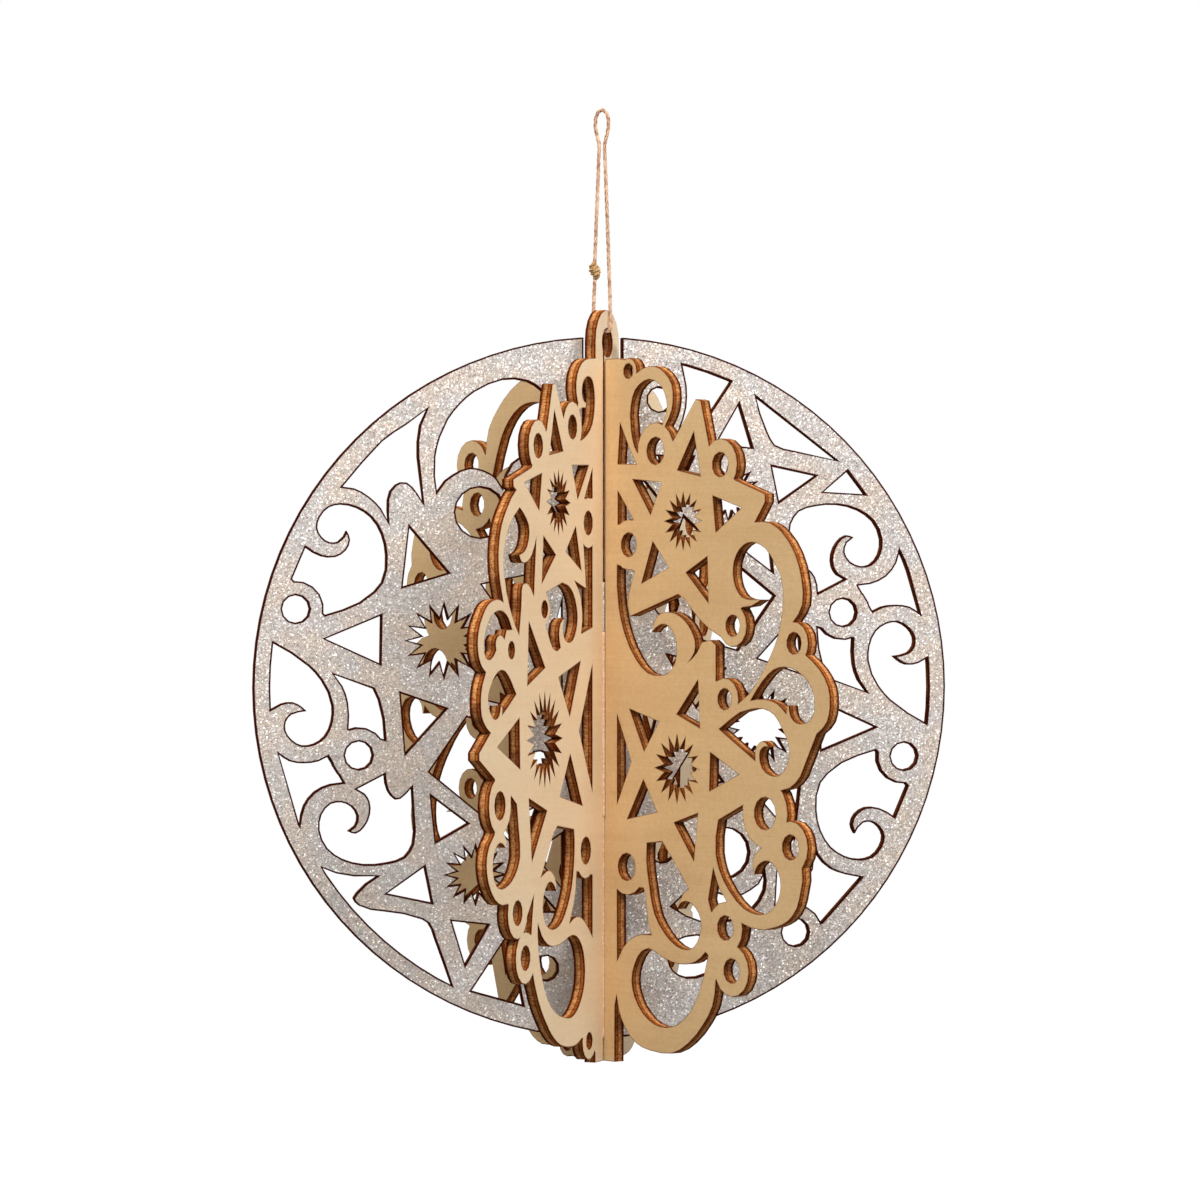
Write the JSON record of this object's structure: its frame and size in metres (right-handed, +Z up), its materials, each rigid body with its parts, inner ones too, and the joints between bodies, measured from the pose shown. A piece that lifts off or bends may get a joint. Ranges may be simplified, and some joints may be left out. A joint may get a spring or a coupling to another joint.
{
  "type": "snowflake ornament",
  "caption": "Hanging fretwork ornament: slotted plywood sheets crossed on one upright axis, one of them glittered, on a loop of twine.",
  "frame": {"origin": "top of the hanging cord's loop, where it is carried", "axes": "+Z up, along the ornament's axis; +X to the right in the plane of the glitter disc; -Y out of the disc's front face"},
  "size_m": [0.18, 0.1572, 0.2447],
  "materials": {
    "silver_glitter": "silver glitter on plywood, burnt edges",
    "pale_plywood": "bare pale plywood, laser-burnt edges",
    "tan_plywood": "bare honey-tan plywood, laser-burnt edges",
    "pink_gold_twine": "twisted twine with a metallic thread",
    "pink_gold_knot": "tied twine"
  },
  "bodies": {
    "hanging_loop": {"hanging_cord": "pink_gold_twine", "cord_knot": "pink_gold_knot"},
    "ornament": {"glitter_disc": "silver_glitter", "hanger_panel": "pale_plywood", "scroll_panel": "tan_plywood"}
  },
  "joints": [
    {"name": "eye_swing", "type": "hinge", "parent": "hanging_loop", "child": "ornament", "pos_m": [0, 0, -0.0599], "axis": [0.866, -0.5, 0], "range_deg": [-75, 75]}
  ]
}
